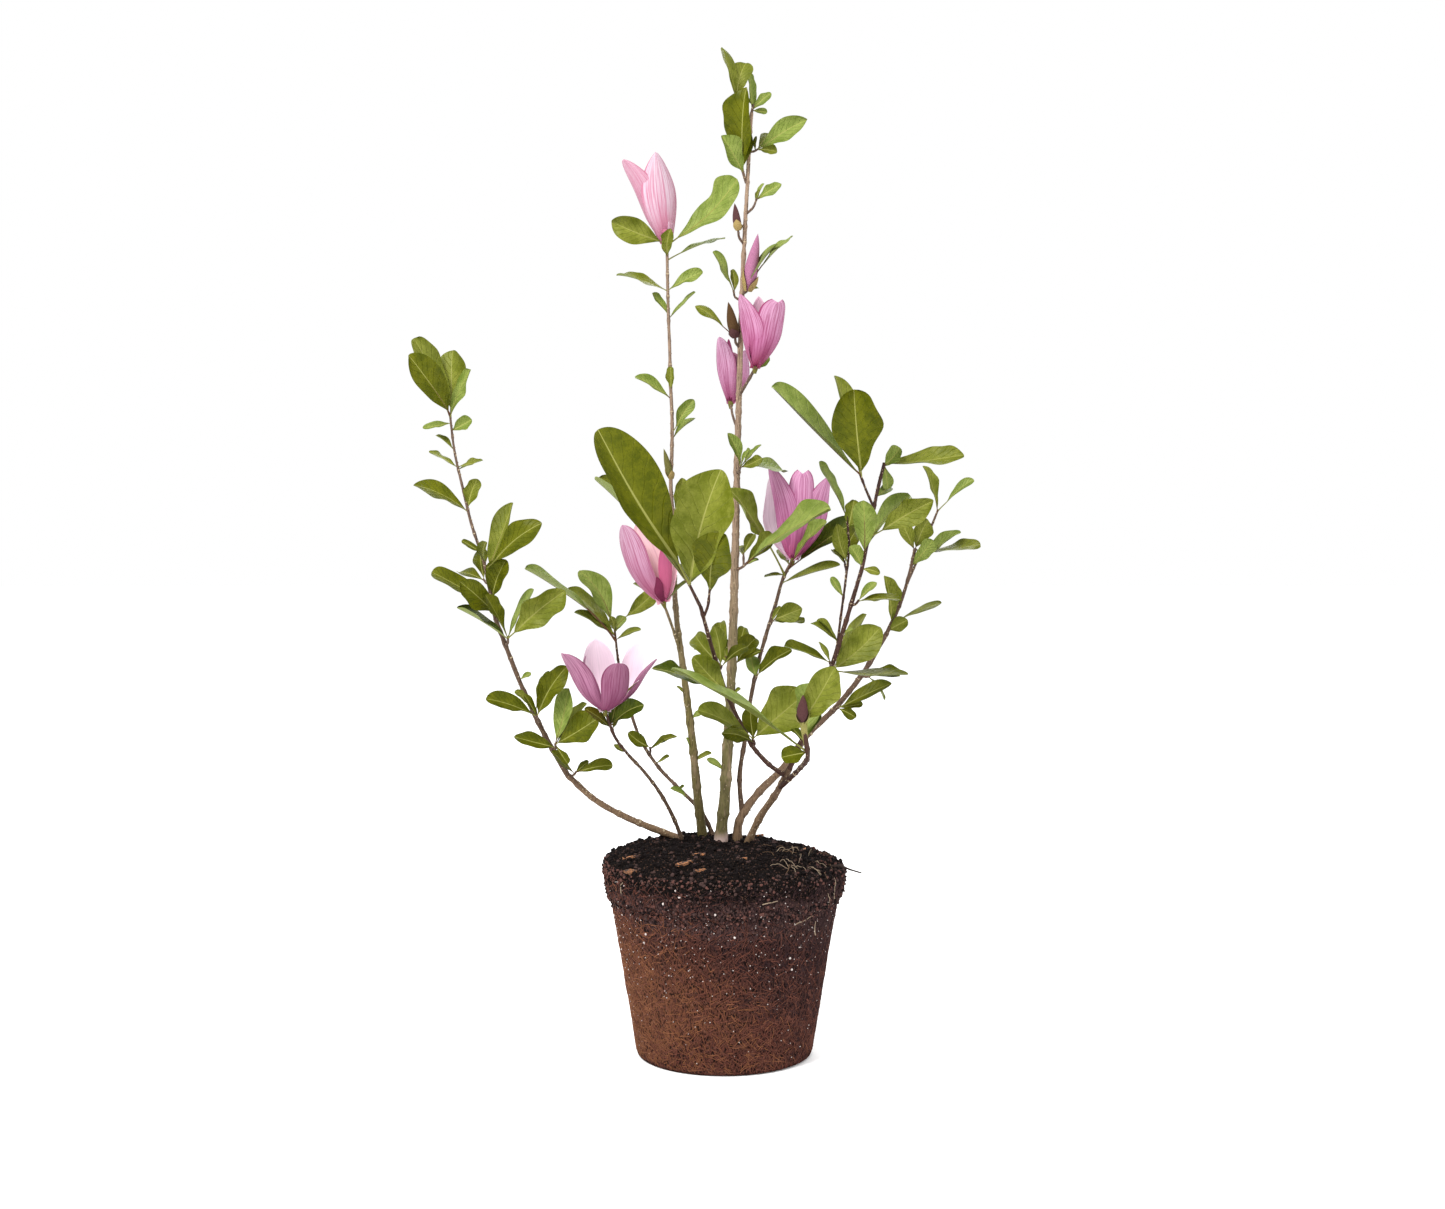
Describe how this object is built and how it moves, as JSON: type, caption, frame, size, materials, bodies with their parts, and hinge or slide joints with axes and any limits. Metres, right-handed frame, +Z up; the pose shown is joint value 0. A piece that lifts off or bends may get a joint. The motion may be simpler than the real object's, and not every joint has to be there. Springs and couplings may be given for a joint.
{
  "type": "magnolia shrub on root ball",
  "caption": "Young multi-stemmed flowering magnolia shrub, lifted out of its pot and standing on its pot-shaped root ball, with pink goblet blooms and green leaves.",
  "frame": {"origin": "centre of the root ball's flat underside", "axes": "+Z up along the trunk, +X to the viewer's right, -Y towards the viewer"},
  "size_m": [0.6266, 0.3663, 1.1067],
  "materials": {
    "compost": "damp, matte and fibrous",
    "olive_bark": "smooth, low sheen",
    "brown_bark": "smooth, matte",
    "leaf": "satin",
    "bloom": "satin"
  },
  "bodies": {
    "root": {"root_ball": "compost", "trunk": "olive_bark", "left_tall_stem": "olive_bark", "left_arching_stem": "olive_bark", "left_front_stem": "olive_bark", "left_back_stem": "olive_bark", "right_stem": "olive_bark", "front_right_stem": "olive_bark", "left_arching_bough": "brown_bark", "right_upright_bough": "brown_bark", "front_left_bough": "brown_bark", "dark_bough": "brown_bark", "bloom_five_shoot": "bloom", "bloom_four_shoot": "bloom", "bloom_six_shoot": "bloom", "bloom_three_shoot": "bloom", "bloom_two_shoot": "bloom", "dark_back_leaves": "leaf", "dark_crown_low": "leaf", "dark_crown_top": "leaf", "dark_high_tuft": "leaf", "dark_low_tuft": "leaf", "dark_side_shoot": "leaf", "front_crown_left": "leaf", "front_crown_right": "leaf", "front_high_tuft": "leaf", "front_low_tuft": "leaf", "front_middle_tuft": "leaf", "leader_brown_bud": "leaf", "leader_flower_bud": "leaf", "leader_foot_tuft": "leaf", "leader_left_bud": "leaf", "leader_left_leaf": "leaf", "leader_left_shoot": "leaf", "leader_low_shoot": "leaf", "leader_middle_tuft": "leaf", "leader_right_shoot": "leaf", "leader_right_spur": "leaf", "leader_tip_leaves": "leaf", "left_arch_crown_low": "leaf", "left_arch_crown_middle": "leaf", "left_arch_crown_top": "leaf", "left_arch_high_tuft": "leaf", "left_arch_low_tuft": "leaf", "left_arch_middle_tuft": "leaf", "left_back_crown": "leaf", "left_back_tuft": "leaf", "left_bend_tuft": "leaf", "left_tall_middle": "leaf", "left_tall_top": "bloom", "nearest_shoot": "leaf", "parallel_shoot": "leaf", "right_crown": "leaf", "right_far_shoot": "leaf", "right_low_tuft": "leaf", "right_middle_tuft": "leaf", "upright_high_tuft": "leaf", "upright_low_tuft": "leaf"}
  },
  "joints": []
}
